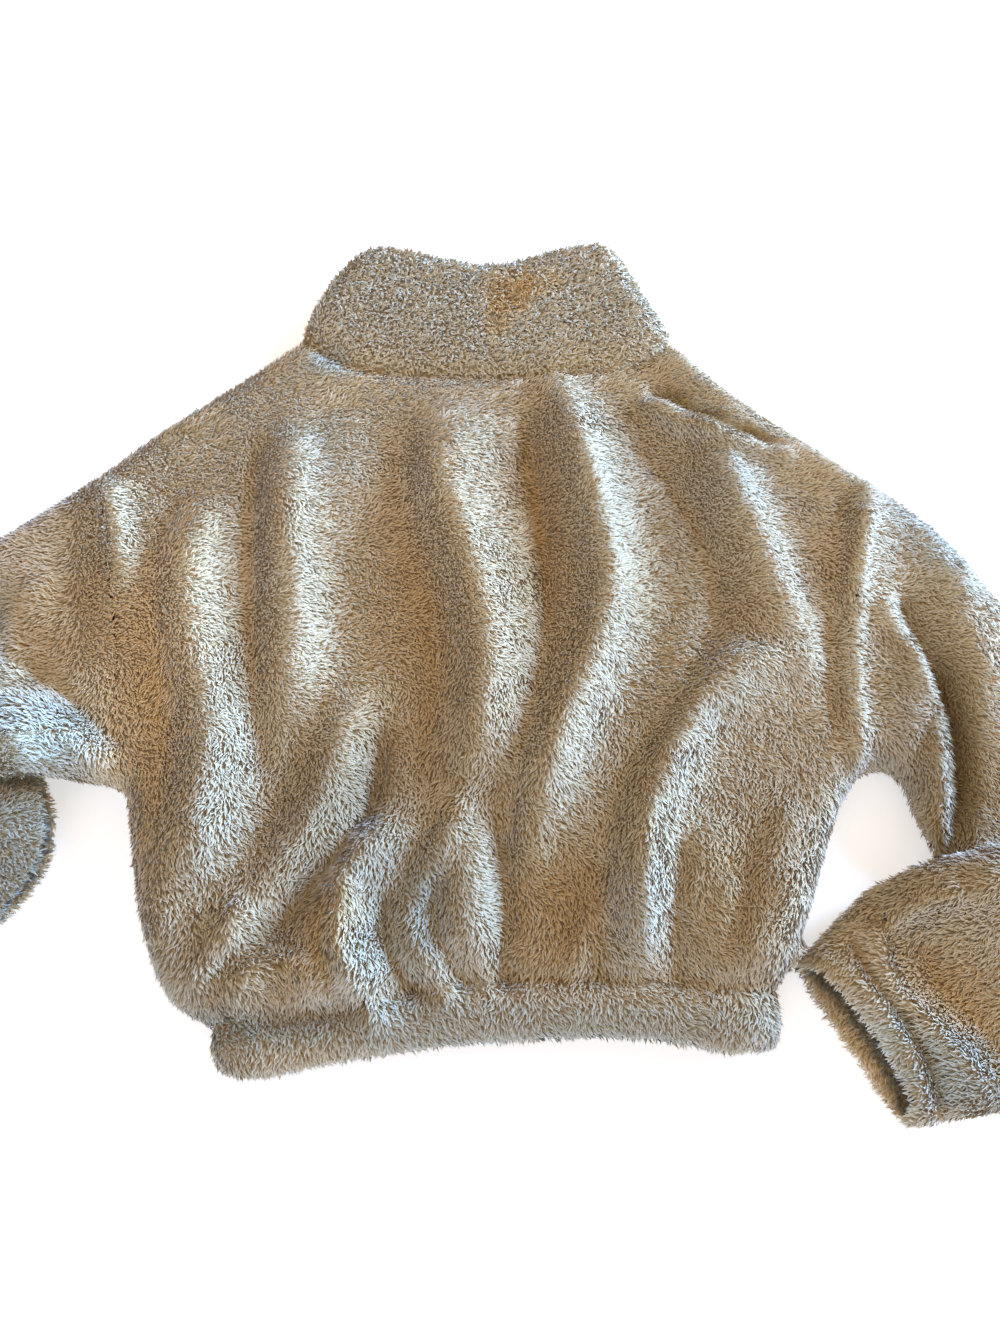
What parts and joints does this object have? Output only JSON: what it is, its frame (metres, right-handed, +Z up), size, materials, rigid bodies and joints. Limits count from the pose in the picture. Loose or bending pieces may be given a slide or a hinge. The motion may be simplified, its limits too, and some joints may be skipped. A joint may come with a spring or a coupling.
{
  "type": "cropped teddy jacket",
  "caption": "Short pile-cloth jacket with a stand-up collar and gathered hem and cuffs, lying face down with its sleeves folded back at the elbow.",
  "frame": {"origin": "middle of the bounding box's base, on the surface that the jacket lies on", "axes": "+X across the jacket towards its sleeve on the right of the picture, +Y from hem to collar, +Z up out of the surface; the back of the jacket faces +Z"},
  "size_m": [1.0314, 0.662, 0.0687],
  "materials": {
    "teddy_fleece": "long curly pile, matt with a soft sheen at the tips"
  },
  "bodies": {
    "root": {"back_panel": "teddy_fleece", "front_left": "teddy_fleece", "front_right": "teddy_fleece", "collar": "teddy_fleece", "hem_band": "teddy_fleece", "sleeve_left": "teddy_fleece", "sleeve_right": "teddy_fleece", "cuff_left": "teddy_fleece", "cuff_right": "teddy_fleece"}
  },
  "joints": []
}
